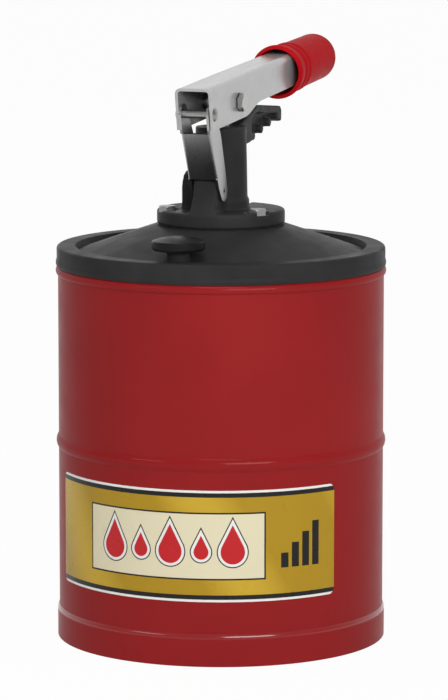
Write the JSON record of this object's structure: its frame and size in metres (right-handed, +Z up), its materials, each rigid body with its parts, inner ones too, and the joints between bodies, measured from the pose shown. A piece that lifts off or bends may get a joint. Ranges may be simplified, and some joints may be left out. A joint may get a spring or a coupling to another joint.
{
  "type": "manual grease pump",
  "caption": "Bucket grease pump: red steel bucket, pressed lid with filler plug, cast head with carrying handle, and a lever on a swinging link that lifts the rod.",
  "frame": {"origin": "centre of the bucket's foot, on the ground", "axes": "+Z up along the bucket, +X along the lever towards the grip, +Y towards the grease outlet"},
  "size_m": [0.2983, 0.2028, 0.3586],
  "materials": {
    "red_paint": "satin",
    "black_paint": "satin",
    "black_casting": "satin",
    "galvanised": "satin",
    "zinc": "satin",
    "steel": "satin",
    "brass": "satin",
    "red_plastic": "gloss",
    "black_plastic": "satin",
    "black_rubber": "matte",
    "packing": "matte"
  },
  "bodies": {
    "base": {"bucket_shell": "red_paint", "bucket_bottom": "red_paint", "lid": "black_paint", "lid_gasket": "black_rubber", "filler_neck": "black_paint", "flange_gasket": "black_rubber", "pump_head": "black_casting", "flange_bolts": "zinc", "flange_washers": "zinc", "flange_nuts": "zinc", "rod_packing": "packing", "gland_ring": "black_paint", "link_pin": "zinc", "pump_barrel": "steel", "foot_valve": "brass", "foot_stop_pin": "steel"},
    "link": {"link": "galvanised"},
    "lever": {"lever": "galvanised", "grip": "red_plastic", "fulcrum_pin": "zinc", "pivot_bolt": "zinc", "pivot_nut": "zinc", "pivot_washer": "zinc", "pivot_spacers": "zinc"},
    "rod": {"piston_rod": "steel", "piston": "brass", "piston_seal": "black_rubber"},
    "piston_ball": {"piston_ball": "steel"},
    "foot_ball": {"foot_ball": "steel"},
    "follower": {"follower_plate": "steel", "follower_wiper": "black_rubber", "follower_seal": "black_rubber"},
    "filler_plug": {"filler_plug": "black_plastic", "plug_gasket": "black_rubber"}
  },
  "joints": [
    {"name": "lever_lift", "type": "hinge", "parent": "link", "child": "lever", "pos_m": [-0.04587, 0, 0.32629], "axis": [0, -1, 0], "range_deg": [0, 52.9]},
    {"name": "link_swing", "type": "hinge", "parent": "base", "child": "link", "pos_m": [-0.022, 0, 0.2778], "axis": [0, -1, 0], "range_deg": [-13, 0]},
    {"name": "rod_slide", "type": "slide", "parent": "base", "child": "rod", "axis": [0, 0, 1], "range_m": [0, 0.034]},
    {"name": "follower_slide", "type": "slide", "parent": "base", "child": "follower", "axis": [0, 0, 1], "range_m": [0, 0.185]},
    {"name": "plug_turn", "type": "hinge", "parent": "base", "child": "filler_plug", "pos_m": [-0.0795, 0, 0.25], "axis": [0, 0, 1], "range_deg": [0, 540]},
    {"name": "foot_ball_lift", "type": "slide", "parent": "base", "child": "foot_ball", "axis": [0, 0, 1], "range_m": [0, 0.003]},
    {"name": "piston_ball_lift", "type": "slide", "parent": "rod", "child": "piston_ball", "axis": [0, 0, 1], "range_m": [0, 0.003]}
  ],
  "couplings": [
    {"joint": "link_swing", "follows": "lever_lift", "ratio": -0.244},
    {"joint": "rod_slide", "follows": "lever_lift", "m_per_rad": 0.03648}
  ]
}
